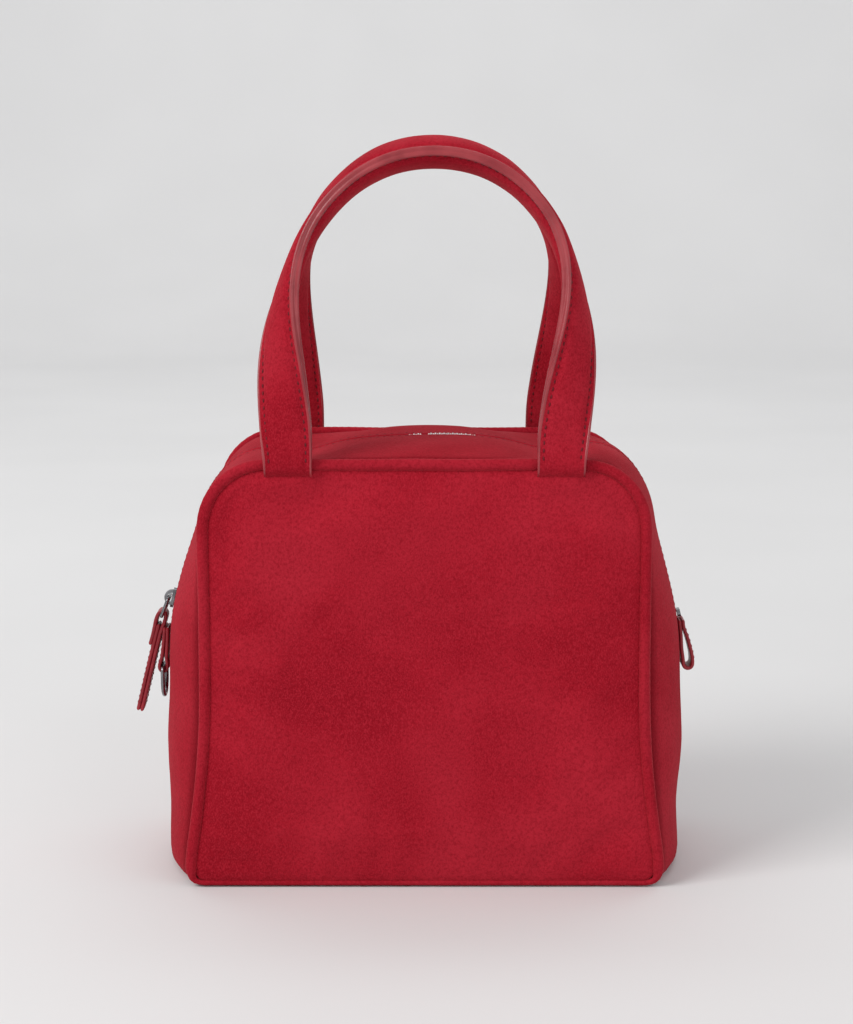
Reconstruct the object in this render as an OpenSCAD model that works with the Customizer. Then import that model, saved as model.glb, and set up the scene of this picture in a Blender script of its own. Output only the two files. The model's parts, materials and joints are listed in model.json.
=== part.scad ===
// Small zip-top handbag: two flat panels edged with piping, a bulging gusset,
// two padded twisted handles, a zip with a hanging pull, and side tabs.
// Millimetres. +Z up, front faces -Y. The origin is on the floor, under the middle.

/* [Bag body] */
// Height from the floor to the top of the piping
body_h = 185; // [150:1:230]
// Width of the front panel halfway up, seam to seam
panel_w = 180; // [150:1:225]
// Depth between the outer faces of the two panels
body_d = 106; // [84:1:130]
// Extra half width of each panel at its foot
panel_flare = 7.5; // [4:0.5:12]
// Height at which the flare has died out
flare_h = 95; // [75:1:120]
// Radius of the panel's top corners
corner_r = 24; // [18:1:34]
// Radius of the panel's bottom corners
foot_r = 7; // [5:0.5:10]

/* [Gusset] */
// How far the gusset bulges out halfway up the side
bulge_side = 19.4; // [8:0.2:24]
// How far the gusset bulges out at its foot
bulge_foot = 12.6; // [6:0.2:16]
// How far the zip strips rise in the middle of the top
bulge_top = 4.2; // [2:0.2:8]
// Distance from the top of the bag down to each end of the zip
zip_drop = 81; // [65:1:95]
// Distance from each top corner's curve to the end of the stretch that opens
mouth_inset = 8; // [4:1:20]

/* [Materials] */
// Thickness of the suede
suede_t = 1.8; // [1.2:0.1:2.4]
// Radius of the piping roll
piping_r = 2.5; // [2:0.1:3.5]
// Thickness of the panel stiffener
stiff_t = 1.2; // [0.6:0.1:2]
// Thickness of the base board
board_t = 2; // [1.5:0.1:3]
// Thickness of the lining cloth
lining_t = 0.8; // [0.5:0.1:1.2]
// Thickness of one ply of tab leather
tab_ply = 1.1; // [0.9:0.1:1.6]
// Clearance between flat layers that are sewn together
lay_gap = 0.1; // [0.05:0.05:0.2]
// Clearance between curved layers that are sewn together
curve_gap = 0.3; // [0.25:0.05:0.5]
// Clearance between pieces that move past each other
move_gap = 0.3; // [0.3:0.05:0.6]

/* [Handles] */
// Width of the handle strap
strap_w = 21; // [17:0.5:25]
// Distance from the side of the panel to the middle of a handle's foot
foot_inset = 33.5; // [28:0.5:44]
// How far each leg bows outward above its foot
leg_bow = 4.5; // [0:0.5:8]
// Height from the seam to where the legs start to arch
leg_h = 55; // [40:1:80]
// Height of the front handle's arch above its legs
arch_front_h = 72.5; // [50:1:80]
// Height of the back handle's arch above its legs
arch_back_h = 77; // [50:1:90]
// Squareness of the arch, 2 is an ellipse
arch_square = 2.1; // [2:0.1:3]
// Thickness of the padding at its thickest
core_t = 4.2; // [2:0.2:6]
// Width of the padding
core_w = 15; // [10:0.5:17]
// How far from the middle of the bag each handle's top comes to rest
apex_y = 22.5; // [12.5:0.5:34]
// Sideways sway of the front handle's top
sway_front = 4; // [0:0.5:8]
// Sideways sway of the back handle's top
sway_back = 3.5; // [0:0.5:8]

/* [Zip] */
// Visible width of the zip tape on each side of the chain
tape_w = 7; // [4:0.5:12]
// Width of the closed chain
chain_w = 3; // [2.4:0.2:5]
// Length of the slider
slider_l = 9; // [7:0.5:12]
// Width of the slider
slider_w = 7; // [5:0.5:10]
// Thickness of the slider's top plate
slider_t = 1.2; // [0.8:0.1:2]
// Outer radius of the slider's bail
bail_r = 3.4; // [3:0.1:5]
// Thickness of the bail
bail_t = 1.2; // [0.8:0.1:1.6]
// Length of the pull link, between the middles of its two bars
link_l = 8.6; // [7:0.1:12]
// Radius of the link's wire
link_wire_r = 0.75; // [0.6:0.05:1]
// Lean of the link away from the bag at rest
link_lean = 21; // [15:1:35]
// Length of the leather pull
pull_l = 45; // [30:1:60]
// Width of the leather pull
pull_w = 8; // [6:0.5:12]
// Thickness of the leather pull
pull_t = 4; // [3:0.2:5]
// Lean of the leather pull away from the bag at rest
pull_lean = 14; // [13:1:30]

/* [Side tabs and ring] */
// Width of a side tab
tab_w = 11; // [8:0.5:12]
// Length of the left tab, which holds the ring
tab_left_l = 19; // [16:1:24]
// Length of the right tab
tab_right_l = 22; // [18:1:26]
// Lean of both tabs away from the bag
tab_lean = 6; // [4:1:12]
// Height of the D ring below its bar, to the middle of its wire
ring_h = 13.4; // [11:0.1:18]
// Radius of the ring's wire
ring_wire_r = 0.9; // [0.7:0.05:1.1]
// Radial clearance of a straight wire in a leather fold
wire_play = 0.08; // [0.05:0.01:0.1]

/* [Hidden] */
$fn = 48;

SUEDE = [0.62, 0.11, 0.15];
SUEDE_EDGE = [0.72, 0.22, 0.26];
LINING = [0.45, 0.1, 0.13];
BOARD = [0.35, 0.32, 0.3];
METAL = [0.36, 0.36, 0.38];

// Seam line of the panel: its foot, its top and the ends of its arcs.
seam_bottom = 2 * piping_r;
seam_top = body_h - 2 * piping_r;
flare_run = flare_h - seam_bottom - foot_r;
foot_lean = atan(2 * panel_flare / flare_run);
foot_z = seam_bottom + foot_r;
side_z = foot_z + foot_r * sin(foot_lean);
corner_z = seam_top - corner_r;

// Layers from outside in, as distances from the middle plane.
panel_in = body_d / 2 - suede_t;
piping_y = panel_in;
stiff_out = panel_in - lay_gap;
lining_out = stiff_out - stiff_t - lay_gap;
gusset_y = piping_y - piping_r - lay_gap / 2;

// Layers of the gusset, as distances outward from the seam line.
skin_out = piping_r + suede_t / 2;
skin_in = skin_out - suede_t;
tape_t = 0.6;
tape_out = skin_in - curve_gap;
tape_in = tape_out - tape_t;
chain_out = skin_out - 0.4;
lining_top = tape_in - curve_gap;

// The lips: the top stretch of the zip strips, which turns up about the piping.
lip_y = gusset_y - suede_t * 0.8;
hinge_y = gusset_y - suede_t * 0.25;
hinge_z = seam_top + piping_r - 0.2;
tape_edge = chain_w / 2 + tape_w;

// Height of each end of the zip.
zip_end_h = body_h - zip_drop;

// Places along the top that follow the panel's width.
mouth_l = panel_w - 2 * (corner_r + mouth_inset);
foot_x = panel_w / 2 - foot_inset;
leg_x = foot_x + leg_bow;

// Handles: the seam they turn about.
ply_t = suede_t;
root_t = 1.2;
root_h = 4;
handle_y = body_d / 2 + root_t + 0.4 + ply_t;
handle_z = seam_top + 0.6;
twist_start = 0;
twist_end = 0.83;
lean_power = 1.05;
// A handle's own arch and sway, which the back handle sets for itself.
$arch_h = arch_front_h;
$sway = sway_front;
pad_gap = 0.35;

function smooth(a, b, t) = let (u = min(1, max(0, (t - a) / (b - a)))) u * u * (3 - 2 * u);
function unit(v) = v / norm(v);

// Half width of the seam line on the straight side.
function side_x(z) = panel_w / 2 + panel_flare * pow(max(0, (flare_h - z) / flare_run), 2);
function side_lean(z) = atan(2 * panel_flare * max(0, flare_h - z) / (flare_run * flare_run));
foot_x_centre = side_x(side_z) - foot_r * cos(foot_lean);

// Points of the seam line on the right, each [x, z, angle of its outward normal].
function foot_run(n) = [for (i = [0:n]) let (a = -90 + (90 + foot_lean) * i / n)
    [foot_x_centre + foot_r * cos(a), foot_z + foot_r * sin(a), a]];
function side_run(z0, z1, n) = [for (i = [0:n]) let (z = z0 + (z1 - z0) * i / n)
    [side_x(z), z, side_lean(z)]];
function corner_run(n) = [for (i = [0:n]) let (a = 90 * i / n)
    [panel_w / 2 - corner_r + corner_r * cos(a), corner_z + corner_r * sin(a), a]];
function top_run(x0, x1, n) = [for (i = [0:n]) [x0 + (x1 - x0) * i / n, seam_top, 90]];
function tail(list) = [for (i = [1:len(list) - 1]) list[i]];
function half_seam() = concat(foot_run(6), tail(side_run(side_z, corner_z, 12)), tail(corner_run(9)));
function flipped(p) = [-p[0], p[1], 180 - p[2]];
function seam() = let (right = half_seam(), n = len(right))
    concat(right, [for (i = [n - 1:-1:0]) flipped(right[i])]);
function grown(p, d) = [p[0] + d * cos(p[2]), p[1] + d * sin(p[2])];

// How far the gusset bulges at a height on the seam line.
function bulge(z) = bulge_foot + (bulge_side - bulge_foot) * smooth(foot_z, flare_h * 0.6, z)
    - (bulge_side - bulge_top) * smooth(flare_h, corner_z + corner_r * 0.67, z);
function swell(v) = 1 - pow(abs(v), 2.2);

// A point of the gusset: p on the seam line, y across the depth, d outward.
function skin(p, y, d) = let (
    b = bulge(p[1]) * swell(y / gusset_y), out = max(0, p[2]))
    [p[0] + d * cos(p[2]) + b * cos(out), y, p[1] + d * sin(p[2]) + b * sin(out)];
function band_ring(p, y0, y1, n, d_in, d_out) = concat(
    [for (j = [0:n]) skin(p, y0 + (y1 - y0) * j / n, d_out)],
    [for (j = [n:-1:0]) skin(p, y0 + (y1 - y0) * j / n, d_in)]);

// A solid through a row of rings, each of which goes out along one face and back along the other.
module loft(rings) {
    n = len(rings[0]);
    m = len(rings);
    half = n / 2;
    polyhedron(
        points = [for (r = rings) each r],
        faces = concat(
            [for (i = [0:m - 2], j = [0:n - 1]) let (a = i * n + j, b = i * n + (j + 1) % n)
                each [[a, b, b + n], [a, b + n, a + n]]],
            [for (j = [0:half - 2]) each [[n - 1 - j, j + 1, j], [n - 1 - j, n - 2 - j, j + 1]]],
            [for (j = [0:half - 2]) let (k = (m - 1) * n)
                each [[k + j, k + j + 1, k + n - 1 - j], [k + j + 1, k + n - 2 - j, k + n - 1 - j]]]),
        convexity = 6);
}

// A closed loop through a row of rings.
module loop_loft(rings) {
    n = len(rings[0]);
    m = len(rings);
    polyhedron(
        points = [for (r = rings) each r],
        faces = [for (i = [0:m - 1], j = [0:n - 1])
            let (a = i * n + j, b = i * n + (j + 1) % n, c = ((i + 1) % m) * n + (j + 1) % n,
                d = ((i + 1) % m) * n + j)
                each [[a, b, c], [a, c, d]]],
        convexity = 6);
}

// A band of the gusset along a run of the seam line, between two depths.
module band(run, y0, y1, n, d_in, d_out) {
    loft([for (p = run) band_ring(p, y0, y1, n, d_in, d_out)]);
}

// A flat layer with the panel's outline, its outer face at depth y_out.
module panel_layer(inset, y_out, t) {
    translate([0, y_out, 0]) rotate([90, 0, 0]) translate([0, 0, -t])
        linear_extrude(t) polygon([for (p = seam()) grown(p, -inset)]);
}

module at_back() {
    rotate([0, 0, 180]) children();
}

module at_left() {
    mirror([1, 0, 0]) children();
}

module panel() {
    color(SUEDE) panel_layer(0, -body_d / 2, suede_t);
}

module stiffener() {
    color(BOARD) panel_layer(1, -stiff_out, stiff_t);
}

module lining_panel() {
    color(LINING) panel_layer(1.4, -lining_out, lining_t);
}

module piping() {
    color(SUEDE) loop_loft([for (p = seam()) [for (k = [0:9]) let (
        a = 360 * k / 10, g = grown(p, piping_r * (1 - cos(a))))
        [g[0], -piping_y + piping_r * sin(a), g[1]]]]);
}

// Runs of the seam line, on the right.
function gusset_run() = concat(foot_run(5), tail(side_run(side_z, zip_end_h, 9)));
function shoulder_run() = concat(side_run(zip_end_h + lay_gap, corner_z, 6), tail(corner_run(7)),
    tail(top_run(panel_w / 2 - corner_r, mouth_l / 2 + move_gap / 2, 1)));
function mouth_run() = top_run(mouth_l / 2 - move_gap / 2, -mouth_l / 2 + move_gap / 2, 4);
function whole_side_run() = concat(foot_run(4), tail(side_run(side_z, corner_z, 9)),
    tail(corner_run(5)));

module side_gusset() {
    color(SUEDE) band(gusset_run(), -gusset_y, gusset_y, 10, skin_in, skin_out);
}

module lining_side() {
    color(LINING) band(whole_side_run(), -gusset_y, gusset_y, 8, lining_top - lining_t, lining_top);
}

// Plan of the base: straight long sides, and ends that swell like the gusset.
function base_end(inset) = [for (j = [0:12]) let (y = (gusset_y - inset) * (j / 6 - 1))
    [foot_x_centre - inset + bulge(0) * swell(y / gusset_y), y]];
module base_layer(inset, z, t) {
    end = base_end(inset);
    translate([0, 0, z]) linear_extrude(t)
        polygon(concat(end, [for (p = end) [-p[0], -p[1]]]));
}

base_skin_t = seam_bottom - skin_out - lay_gap / 2;
board_z = base_skin_t + lay_gap;

module base_panel() {
    color(SUEDE) base_layer(0, 0, base_skin_t);
}

module base_board() {
    color(BOARD) base_layer(1, board_z, board_t);
}

module lining_base() {
    color(LINING) base_layer(6, board_z + board_t + lay_gap, lining_t);
}

pocket_w = panel_w * 0.6;
pocket_h = body_h * 0.4;
pocket_z = body_h * 0.35;
pocket_hem = 4;

// An open-topped pocket on the back lining.
module slip_pocket() {
    y_back = lining_out - lining_t - lay_gap;
    color(LINING) translate([0, y_back, pocket_z]) rotate([90, 0, 0]) {
        translate([-pocket_w / 2, 0, lining_t]) cube([pocket_w, pocket_h, lining_t]);
        linear_extrude(lining_t) difference() {
            translate([-pocket_w / 2, 0]) square([pocket_w, pocket_h]);
            translate([-pocket_w / 2 + pocket_hem, pocket_hem])
                square([pocket_w - 2 * pocket_hem, pocket_h]);
        }
    }
}

// The zip: suede strip, tape and chain. Every stretch is drawn for the front.
module zip_strip(run, edge) {
    color(SUEDE) band(run, -edge, -tape_edge, 5, skin_in, skin_out);
}

module zip_tape(run) {
    color(LINING) band(run, -tape_edge - 6, -chain_w / 2 - lay_gap, 2, tape_in, tape_out);
}

module zip_chain(run, y0, y1) {
    color(METAL) band(run, y0, y1, 1, tape_in, chain_out);
}

// Where the slider sits: on the left, above the zip's end and the tab.
slider_z = zip_end_h + slider_l / 2 + 7;
slider_seat = skin([side_x(slider_z), slider_z, side_lean(slider_z)], 0, skin_out);
slider_next = skin([side_x(slider_z + 1), slider_z + 1, side_lean(slider_z + 1)], 0, skin_out);
slider_tilt = atan(slider_seat[0] - slider_next[0]);

// Moves its children, drawn with +Z away from the bag and +X up the zip, onto the left side.
module on_left_zip() {
    translate([-slider_seat[0], 0, slider_seat[2]]) rotate([0, slider_tilt, 0])
        rotate([0, -90, 0]) children();
}

module slider_plate() {
    color(METAL) on_left_zip() translate([0, 0, move_gap]) linear_extrude(slider_t) {
        square([slider_l - slider_w, slider_w], center = true);
        for (side = [-1, 1]) translate([side * (slider_l - slider_w) / 2, 0]) circle(d = slider_w);
    }
}

module slider_bail() {
    color(METAL) on_left_zip() translate([0, 0, move_gap + slider_t]) rotate([90, 0, 0])
        translate([0, 0, -1.2]) linear_extrude(2.4) difference() {
            circle(bail_r);
            circle(bail_r - bail_t);
            translate([-bail_r, -2 * bail_r]) square(2 * bail_r);
        }
}

link_corner = 1.2;

// Wire of the link where it passes under the bail, and where it holds the leather.
bail_hole = bail_r - bail_t;
bail_out = move_gap + slider_t + bail_hole - link_wire_r - 0.1;
link_top = [-slider_seat[0] - bail_out * cos(slider_tilt), 0,
    slider_seat[2] + bail_out * sin(slider_tilt)];
link_way = [-sin(link_lean), 0, -cos(link_lean)];
link_end = link_top + link_l * link_way;
link_w = pull_w + 2 * link_corner + 0.6;

// A closed loop of round wire. Its top bar lies along Y through the origin and it hangs down -Z.
module wire_loop(w, l, r_top, r_low, wire_r) {
    for (side = [0, 180]) rotate([0, 0, side]) {
        translate([0, w / 2, -l + r_low]) cylinder(h = l - r_top - r_low, r = wire_r);
        translate([0, w / 2 - r_top, -r_top]) rotate([90, 0, 90])
            rotate_extrude(angle = 90) translate([r_top, 0]) circle(wire_r);
        translate([0, w / 2 - r_low, -l + r_low]) rotate([90, 0, 90])
            rotate_extrude(angle = -90) translate([r_low, 0]) circle(wire_r);
    }
    rotate([90, 0, 0]) cylinder(h = w - 2 * r_top, r = wire_r, center = true);
    if (w > 2 * r_low + 0.01) translate([0, 0, -l]) rotate([90, 0, 0])
        cylinder(h = w - 2 * r_low, r = wire_r, center = true);
}

module pull_link() {
    color(METAL) translate(link_top) rotate([0, link_lean, 0])
        wire_loop(link_w, link_l, link_corner, link_corner, link_wire_r);
}

eye_r = pull_t / 2 + 0.3;

module pull_leather() {
    color(SUEDE_EDGE) translate(link_end) rotate([0, pull_lean, 0]) rotate([90, 0, 0])
        translate([0, 0, -pull_w / 2]) linear_extrude(pull_w) difference() {
            union() {
                circle(eye_r);
                translate([-pull_t / 2, -pull_l + pull_t / 2]) square([pull_t, pull_l - pull_t / 2]);
                translate([0, -pull_l + pull_t / 2]) circle(pull_t / 2);
            }
            circle(link_wire_r + wire_play);
        }
}

// A tab: a strip folded in two, hanging from a seam near the end of the zip.
fold_r = ring_wire_r + wire_play;
fold_out = fold_r + tab_ply;
tab_left_top = zip_end_h - 2;
tab_right_top = zip_end_h + 2;
ring_corner = 1.6;
ring_w = tab_w + 2 * ring_corner + 0.6;

// Middle of a tab's top end, for a strip of the given half thickness.
function tab_head(top, half) = let (p = skin([side_x(top), top, side_lean(top)], 0, skin_out))
    [p[0] + move_gap + half, 0, top];
// Middle of its fold.
function tab_fold(top, half, l) = tab_head(top, half)
    + (l - fold_out) * [sin(tab_lean), 0, -cos(tab_lean)];

// Drawn on the right. The plies of the strip stand slot apart above the fold.
module tab(top, l, slot) {
    half = slot / 2 + tab_ply;
    rise = l - fold_out;
    color(SUEDE_EDGE) translate(tab_fold(top, half, l)) rotate([0, -tab_lean, 0]) rotate([90, 0, 0])
        translate([0, 0, -tab_w / 2]) linear_extrude(tab_w) difference() {
            union() {
                circle(fold_out);
                translate([-half, 0]) square([2 * half, rise]);
            }
            circle(fold_r);
            if (slot > 0) translate([-slot / 2, 0]) square([slot, rise - 3]);
        }
}

module tab_left() {
    at_left() tab(tab_left_top, tab_left_l, 0);
}

module tab_right() {
    tab(tab_right_top, tab_right_l, 2 * fold_r);
}

// A D ring hangs straight down from the fold of the left tab.
module ring_left() {
    color(METAL) at_left() translate(tab_fold(tab_left_top, tab_ply, tab_left_l))
        wire_loop(ring_w, ring_h, ring_corner, ring_w / 2, ring_wire_r);
}

// A small metal clip over the zip's right end.
module zip_stop() {
    z = tab_right_top + 3;
    p = skin([side_x(z), z, side_lean(z)], 0, skin_out);
    color(METAL) translate([p[0] + lay_gap, 0, p[2]]) rotate([0, 90 - slider_tilt, 0])
        intersection() {
            cylinder(h = 1.4, r = 2.6);
            translate([-1.6, -2.6, 0]) cube([3.2, 5.2, 1.4]);
        }
}

// Handles. t runs from 0 at one foot to 1 at the other.
function leg_share() = 0.28;
function path_flat(t) = let (s = leg_share(), u = t / s, a = 90 * (t - s) / (0.5 - s))
    t <= s ? [-foot_x - (leg_x - foot_x) * smooth(0, 1, u), leg_h * u]
        : [-leg_x * pow(max(0, cos(a)), 2 / arch_square), leg_h + $arch_h * pow(sin(a), 2 / arch_square)];
function path_x(t) = t <= 0.5 ? path_flat(t)[0] : -path_flat(1 - t)[0];
function path_z(t) = t <= 0.5 ? path_flat(t)[1] : path_flat(1 - t)[1];
function rise_at(t) = path_z(t) / (leg_h + $arch_h);
function path(t) = let (rise = rise_at(t)) [
    path_x(t) + $sway * smooth(0, 1, rise),
    -handle_y + (handle_y - apex_y) * pow(rise, lean_power),
    handle_z + path_z(t)];
function tangent(t) = unit(path(min(1, t + 0.004)) - path(max(0, t - 0.004)));

// The strap faces forward at its feet and outward along the arch, in the sheet that the handle
// leans in.
function facing(t) = let (
    rise = rise_at(t),
    turn = 90 * smooth(twist_start, twist_end, rise),
    lean = (handle_y - apex_y) / (leg_h + $arch_h) * lean_power * pow(rise, lean_power - 1),
    along = tangent(t),
    front = unit([0, -1, lean]),
    way = cos(turn) * front + sin(turn) * unit(cross(front, along)))
    unit(way - (way * along) * along);

// A point of the strap's section: s across its width, d out of its face.
function strap_point(t, s, d) = path(t) + s * cross(tangent(t), facing(t)) + d * facing(t);

// Half thickness of the padding, which thins out towards the feet and the edges.
function pad(t, s) = let (h = min(t, 1 - t))
    core_t / 2 * (0.12 + 0.88 * smooth(0.03, 0.1, h)) * sqrt(max(0, 1 - pow(2 * s / core_w, 2)));

// Evenly spread stations, from foot to foot.
function stations(n) = [for (i = [0:n]) i / n];
function across(n) = [for (j = [0:n]) strap_w / 2 * sin(180 * (j / n) - 90)];

module strap_ply(side) {
    list = across(8);
    gap = lay_gap / 2;
    rings = [for (t = stations(40)) let (k = side) concat(
        [for (s = list) strap_point(t, s * k, k * (pad(t, s) + gap + ply_t))],
        [for (j = [len(list) - 1:-1:0]) strap_point(t, list[j] * k, k * (pad(t, list[j]) + gap))])];
    color(SUEDE) loft(rings);
}

// The padding keeps clear of both plies, along the same stations.
module strap_core() {
    list = across(8);
    rim = [for (j = [2:6]) list[j]];
    function half_t(t, s) = max(0.1, pad(t, s) - pad_gap);
    rings = [for (i = [3:37]) let (t = i / 40) concat(
        [for (s = rim) strap_point(t, s, half_t(t, s))],
        [for (j = [4:-1:0]) strap_point(t, rim[j], -half_t(t, rim[j]))])];
    color(BOARD) loft(rings);
}

module back_handle() {
    $arch_h = arch_back_h;
    $sway = sway_back;
    mirror([0, 1, 0]) children();
}

// The stub of strap that comes out of the seam, under a handle's foot.
module handle_root(side) {
    color(SUEDE) translate([side * foot_x - strap_w / 2, -body_d / 2 - root_t, seam_top - root_h])
        cube([strap_w, root_t, root_h]);
}

panel();  // front_panel
at_back() panel();  // back_panel
piping();  // front_piping
at_back() piping();  // back_piping
at_left() side_gusset();  // side_gusset_left
side_gusset();  // side_gusset_right
base_panel();
stiffener();  // front_stiffener
at_back() stiffener();  // back_stiffener
base_board();
lining_panel();  // lining_front
at_back() lining_panel();  // lining_back
at_left() lining_side();  // lining_left
lining_side();  // lining_right
lining_base();
slip_pocket();
zip_strip(mouth_run(), lip_y);  // zip_strip_front_top
at_back() zip_strip(mouth_run(), lip_y);  // zip_strip_back_top
at_left() zip_strip(shoulder_run(), gusset_y);  // zip_strip_front_left
zip_strip(shoulder_run(), gusset_y);  // zip_strip_front_right
at_back() zip_strip(shoulder_run(), gusset_y);  // zip_strip_back_left
at_back() at_left() zip_strip(shoulder_run(), gusset_y);  // zip_strip_back_right
zip_tape(mouth_run());  // zip_tape_front_top
at_back() zip_tape(mouth_run());  // zip_tape_back_top
at_left() zip_tape(shoulder_run());  // zip_tape_front_left
zip_tape(shoulder_run());  // zip_tape_front_right
at_back() zip_tape(shoulder_run());  // zip_tape_back_left
at_back() at_left() zip_tape(shoulder_run());  // zip_tape_back_right
zip_chain(mouth_run(), -chain_w / 2, -move_gap / 2);  // zip_chain_front_top
at_back() zip_chain(mouth_run(), -chain_w / 2, -move_gap / 2);  // zip_chain_back_top
at_left() zip_chain(shoulder_run(), -chain_w / 2, chain_w / 2);  // zip_chain_left
zip_chain(shoulder_run(), -chain_w / 2, chain_w / 2);  // zip_chain_right
zip_stop();
slider_plate();
slider_bail();
pull_link();
pull_leather();
strap_ply(1);  // handle_front_outer
strap_ply(-1);  // handle_front_inner
strap_core();  // handle_front_core
back_handle() strap_ply(1);  // handle_back_outer
back_handle() strap_ply(-1);  // handle_back_inner
back_handle() strap_core();  // handle_back_core
handle_root(-1);  // handle_root_front_left
handle_root(1);  // handle_root_front_right
at_back() handle_root(1);  // handle_root_back_left
at_back() handle_root(-1);  // handle_root_back_right
tab_left();
tab_right();
ring_left();
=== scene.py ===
import json
import math

import bpy
import numpy as np
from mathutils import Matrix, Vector, noise
from mathutils.bvhtree import BVHTree


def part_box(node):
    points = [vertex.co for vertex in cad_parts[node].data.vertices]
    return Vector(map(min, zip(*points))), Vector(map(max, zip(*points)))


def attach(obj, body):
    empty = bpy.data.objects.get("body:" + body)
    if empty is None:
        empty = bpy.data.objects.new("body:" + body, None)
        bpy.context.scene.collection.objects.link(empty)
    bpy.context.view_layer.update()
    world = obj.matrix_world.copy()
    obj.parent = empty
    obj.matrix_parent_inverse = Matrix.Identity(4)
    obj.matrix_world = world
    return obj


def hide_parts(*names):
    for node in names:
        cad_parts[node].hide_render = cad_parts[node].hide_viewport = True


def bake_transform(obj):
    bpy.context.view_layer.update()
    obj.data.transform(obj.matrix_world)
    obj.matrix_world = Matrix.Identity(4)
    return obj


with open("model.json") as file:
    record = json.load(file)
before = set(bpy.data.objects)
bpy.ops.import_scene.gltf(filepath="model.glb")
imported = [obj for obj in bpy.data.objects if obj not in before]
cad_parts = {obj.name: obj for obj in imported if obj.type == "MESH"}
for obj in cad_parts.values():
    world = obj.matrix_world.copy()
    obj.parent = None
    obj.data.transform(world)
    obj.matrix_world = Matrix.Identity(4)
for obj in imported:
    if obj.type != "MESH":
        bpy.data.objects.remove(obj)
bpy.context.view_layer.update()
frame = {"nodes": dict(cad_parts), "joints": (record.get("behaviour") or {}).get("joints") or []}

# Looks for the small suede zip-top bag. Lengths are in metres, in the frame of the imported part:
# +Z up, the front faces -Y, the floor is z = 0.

MM = 0.001
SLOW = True

# The joints' places, read from the frame.
JOINTS = {j["name"]: j for j in frame["joints"]}


# ---------------------------------------------------------------- small helpers

def smooth(a, b, t):
    u = np.clip((np.asarray(t, float) - a) / (b - a), 0, 1)
    return u * u * (3 - 2 * u)


def coords(obj):
    return np.array([v.co for v in obj.data.vertices])


def set_coords(obj, points):
    obj.data.vertices.foreach_set("co", points.ravel())
    obj.data.update()


def node_points(name):
    return coords(frame["nodes"][name])


def lower(name, axis):
    """A CAD node's lower bound on an axis."""
    return float(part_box(name)[0][axis])


def upper(name, axis):
    return float(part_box(name)[1][axis])


def extent(name, axis):
    return upper(name, axis) - lower(name, axis)


def unit(vectors):
    return vectors / np.linalg.norm(vectors, axis=-1, keepdims=True)


def hill(offset, width, power=2):
    """1 where the offset is 0, falling smoothly to 0 beyond the width."""
    return np.exp(-(offset / width) ** power)


def run_along(points):
    """How far along their line the points lie."""
    return np.concatenate([[0], np.cumsum(np.linalg.norm(np.diff(points, axis=0), axis=1))])


def at_run(at, run, values):
    """Rows of values at the distances at, where row k of values lies at distance run[k]."""
    return np.stack([np.interp(at, run, values[:, k]) for k in range(values.shape[1])], 1)


def ripple(points, size, seed=0.0):
    """Smooth noise between about -1 and 1 at each point, with features of the given size."""
    shift = Vector((seed * 3.7, seed * 1.3, seed * 2.1))
    return np.array([noise.noise(Vector(p) / size + shift) for p in points])


def shape(name, verts, faces, material):
    """A smooth-shaded mesh object."""
    data = bpy.data.meshes.new(name)
    data.from_pydata([tuple(v) for v in verts], [], faces)
    data.polygons.foreach_set("use_smooth", [True] * len(data.polygons))
    data.validate()
    data.update()
    obj = bpy.data.objects.new(name, data)
    bpy.context.scene.collection.objects.link(obj)
    data.materials.append(material)
    return obj


def grid_faces(rows, cols, wrap_rows=False, wrap_cols=False, start=0):
    """Quads of a grid whose points are numbered row by row."""
    faces = []
    for i in range(rows if wrap_rows else rows - 1):
        for j in range(cols if wrap_cols else cols - 1):
            a, b = i * cols + j, i * cols + (j + 1) % cols
            c, d = ((i + 1) % rows) * cols + (j + 1) % cols, ((i + 1) % rows) * cols + j
            faces.append((start + a, start + b, start + c, start + d))
    return faces


def slab(name, grid, rows, cols, offset, material):
    """A closed sheet between a grid of points and the same grid moved by offset."""
    both = np.concatenate([grid, grid + offset])
    faces = grid_faces(rows, cols) + [f[::-1] for f in grid_faces(rows, cols, start=rows * cols)]
    rim = (list(range(cols)) + [i * cols + cols - 1 for i in range(1, rows)]
           + [(rows - 1) * cols + j for j in range(cols - 2, -1, -1)]
           + [i * cols for i in range(rows - 2, 0, -1)])
    for a, b in zip(rim, rim[1:] + rim[:1]):
        faces.append((a, a + rows * cols, b + rows * cols, b))
    obj = shape(name, both, faces, material)
    return facing_out(obj, tuple((both.min(0) + both.max(0)) / 2))


def shape_of_parts(name, parts, material):
    """One object from several (points, faces) pairs."""
    verts, faces = [], []
    for points, part_faces in parts:
        offset = len(verts)
        verts.extend(points)
        faces.extend(tuple(offset + k for k in f) for f in part_faces)
    return shape(name, verts, faces, material)


def closed_sweep(rings):
    """(points, faces) of a solid through a row of closed rings. Its end caps have their own points,
    so the shading runs straight on to a neighbour that starts where this one ends."""
    rings = np.asarray(rings, float)
    rows, cols = rings.shape[:2]
    points = rings.reshape(-1, 3)
    faces = grid_faces(rows, cols, wrap_cols=True)
    first, last = rows * cols, rows * cols + cols
    points = np.concatenate([points, rings[0], rings[-1]])
    faces.append(tuple(range(first, first + cols)))
    faces.append(tuple(range(last, last + cols))[::-1])
    swept = 0.0
    for f in faces[:cols * (rows - 1)]:
        a, b, c, d = (points[k] for k in f)
        swept += np.dot(a, np.cross(b, c)) + np.dot(a, np.cross(c, d))
    if swept <= 0:
        faces = [f[::-1] for f in faces]
    return points, faces


def apply_modifiers(obj):
    """Leaves the object's mesh as its modifiers make it."""
    dg = bpy.context.evaluated_depsgraph_get()
    done = bpy.data.meshes.new_from_object(obj.evaluated_get(dg))
    obj.modifiers.clear()
    obj.data = done
    return obj


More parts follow.
